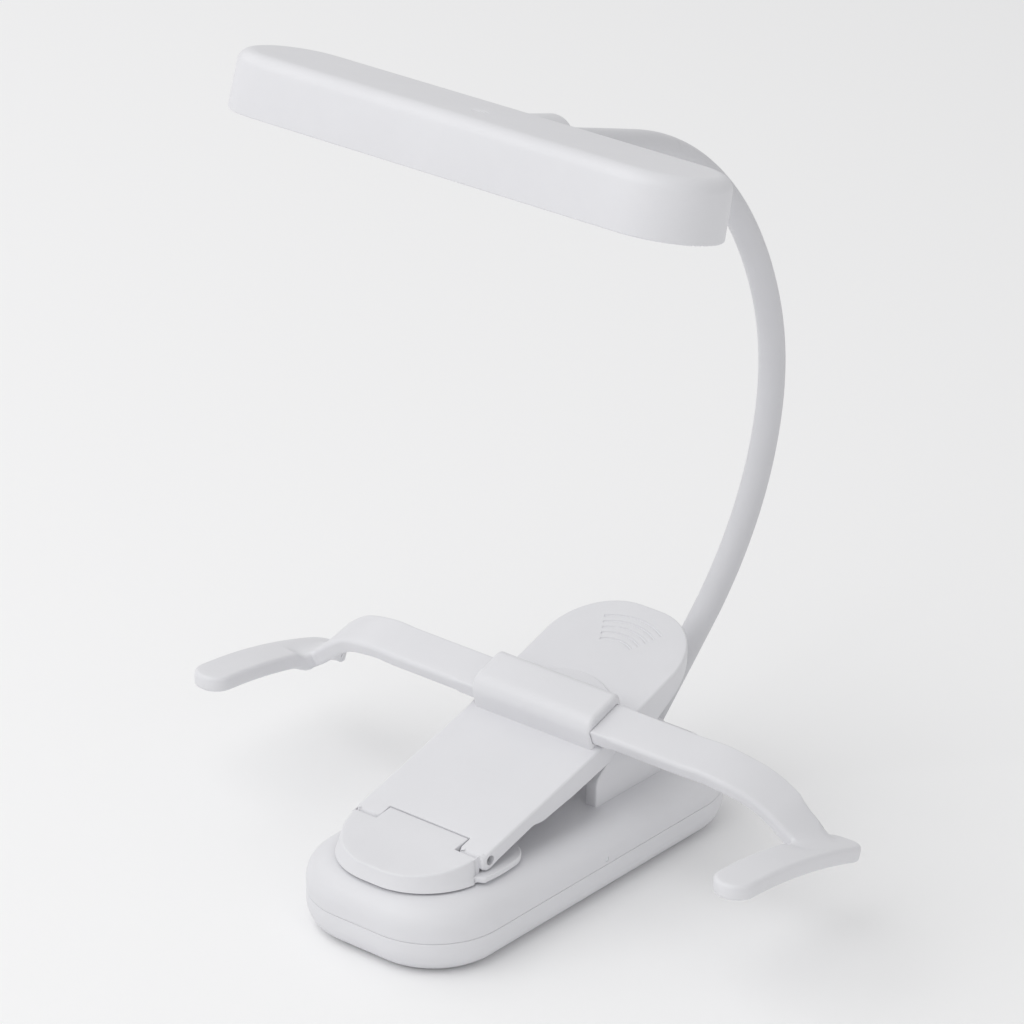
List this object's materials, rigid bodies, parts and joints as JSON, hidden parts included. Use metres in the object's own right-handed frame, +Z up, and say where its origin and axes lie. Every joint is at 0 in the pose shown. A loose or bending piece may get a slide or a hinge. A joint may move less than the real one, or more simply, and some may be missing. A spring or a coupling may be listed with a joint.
{
  "type": "clip-on reading lamp",
  "caption": "Rechargeable clip-on reading lamp: spring clip on a rounded base, sliding page-holder arms, bending neck and a long light head.",
  "frame": {"origin": "centre of the base's flat underside", "axes": "+Z up, +X along the page-holder arms and the light head, +Y towards the back where the neck stands; the jaw of the clip faces -Y"},
  "size_m": [0.146, 0.1353, 0.1714],
  "materials": {
    "white_shell": "fine satin, injection moulded",
    "white_lever": "fine satin, injection moulded",
    "neck_sleeve": "smooth matt sleeve",
    "diffuser": "milky frosted",
    "jaw_silicone": "matt silicone",
    "pin_steel": "drawn wire",
    "spring_steel": "bright spring wire",
    "screw_steel": "zinc plated",
    "circuit_board": "solder mask",
    "led_board_white": "white solder mask",
    "led_yellow": "phosphor coated",
    "cell_foil": "laminated foil",
    "usb_metal": "drawn shell",
    "indicator_clear": "translucent",
    "sensor_metal": "plated"
  },
  "bodies": {
    "base": {"base_lower_shell": "white_shell", "base_upper_shell": "white_shell", "base_screws": "screw_steel", "battery_cell": "cell_foil", "control_board": "circuit_board", "usb_c_socket": "usb_metal", "indicator_lens": "indicator_clear", "neck_base_ferrule": "white_shell", "lever_pivot_pin": "pin_steel", "clip_spring": "spring_steel"},
    "lever": {"clip_lever": "white_lever", "spring_lever_leg": "spring_steel", "page_holder_collar": "white_lever", "jaw_hinge_pin": "pin_steel"},
    "jaw": {"jaw_foot": "white_lever", "jaw_pad": "jaw_silicone"},
    "arm_right": {"page_arm_right": "white_lever"},
    "arm_left": {"page_arm_left": "white_lever"},
    "neck_1": {"neck_link_1": "neck_sleeve"},
    "neck_2": {"neck_link_2": "neck_sleeve"},
    "neck_3": {"neck_link_3": "neck_sleeve"},
    "neck_4": {"neck_link_4": "neck_sleeve"},
    "neck_5": {"neck_link_5": "neck_sleeve"},
    "neck_6": {"neck_link_6": "neck_sleeve"},
    "neck_7": {"neck_link_7": "neck_sleeve"},
    "neck_8": {"neck_link_8": "neck_sleeve"},
    "head": {"head_housing": "white_shell", "head_neck_ferrule": "white_shell", "head_diffuser": "diffuser", "led_board": "led_board_white", "led_chips": "led_yellow", "board_screws": "screw_steel", "touch_sensor_plate": "sensor_metal"}
  },
  "joints": [
    {"name": "clip_lever_hinge", "type": "hinge", "parent": "base", "child": "lever", "pos_m": [0, 0.017, 0.027], "axis": [-1, 0, 0], "range_deg": [0, 16], "stiffness_Nm_per_rad": 0.5, "springref_deg": -28.65},
    {"name": "jaw_foot_hinge", "type": "hinge", "parent": "lever", "child": "jaw", "pos_m": [0, -0.029, 0.0194], "axis": [1, 0, 0], "range_deg": [0, 16]},
    {"name": "page_arm_right_slide", "type": "slide", "parent": "lever", "child": "arm_right", "axis": [1, 0, 0], "range_m": [-0.006, 0.008]},
    {"name": "page_arm_left_slide", "type": "slide", "parent": "lever", "child": "arm_left", "axis": [-1, 0, 0], "range_m": [-0.006, 0.008]},
    {"name": "neck_pitch_1", "type": "hinge", "parent": "base", "child": "neck_1", "pos_m": [0, 0.0433, 0.0177], "axis": [1, 0, 0], "range_deg": [-8, 8]},
    {"name": "neck_sway_1", "type": "hinge", "parent": "neck_1", "child": "neck_2", "pos_m": [0, 0.06012, 0.03397], "axis": [0, -0.6984, 0.7157], "range_deg": [-8, 8]},
    {"name": "neck_pitch_2", "type": "hinge", "parent": "neck_2", "child": "neck_3", "pos_m": [0, 0.07421, 0.05254], "axis": [1, 0, 0], "range_deg": [-8, 8]},
    {"name": "neck_sway_2", "type": "hinge", "parent": "neck_3", "child": "neck_4", "pos_m": [0, 0.08178, 0.07457], "axis": [0, -0.9871, 0.1599], "range_deg": [-8, 8]},
    {"name": "neck_pitch_3", "type": "hinge", "parent": "neck_4", "child": "neck_5", "pos_m": [0, 0.08064, 0.09777], "axis": [1, 0, 0], "range_deg": [-8, 8]},
    {"name": "neck_sway_3", "type": "hinge", "parent": "neck_5", "child": "neck_6", "pos_m": [0, 0.07142, 0.11918], "axis": [0, -0.8499, -0.527], "range_deg": [-8, 8]},
    {"name": "neck_pitch_4", "type": "hinge", "parent": "neck_6", "child": "neck_7", "pos_m": [0, 0.05605, 0.13668], "axis": [1, 0, 0], "range_deg": [-8, 8]},
    {"name": "neck_sway_4", "type": "hinge", "parent": "neck_7", "child": "neck_8", "pos_m": [0, 0.03559, 0.14776], "axis": [0, -0.304, -0.9527], "range_deg": [-8, 8]},
    {"name": "neck_pitch_5", "type": "hinge", "parent": "neck_8", "child": "head", "pos_m": [0, 0.01325, 0.15472], "axis": [1, 0, 0], "range_deg": [-8, 8]}
  ],
  "couplings": [
    {"joint": "jaw_foot_hinge", "follows": "clip_lever_hinge", "ratio": 1},
    {"joint": "neck_pitch_2", "follows": "neck_pitch_1", "ratio": 1},
    {"joint": "neck_sway_2", "follows": "neck_sway_1", "ratio": 1},
    {"joint": "neck_pitch_3", "follows": "neck_pitch_1", "ratio": 1},
    {"joint": "neck_sway_3", "follows": "neck_sway_1", "ratio": 1},
    {"joint": "neck_pitch_4", "follows": "neck_pitch_1", "ratio": 1},
    {"joint": "neck_sway_4", "follows": "neck_sway_1", "ratio": 1},
    {"joint": "neck_pitch_5", "follows": "neck_pitch_1", "ratio": 1}
  ]
}
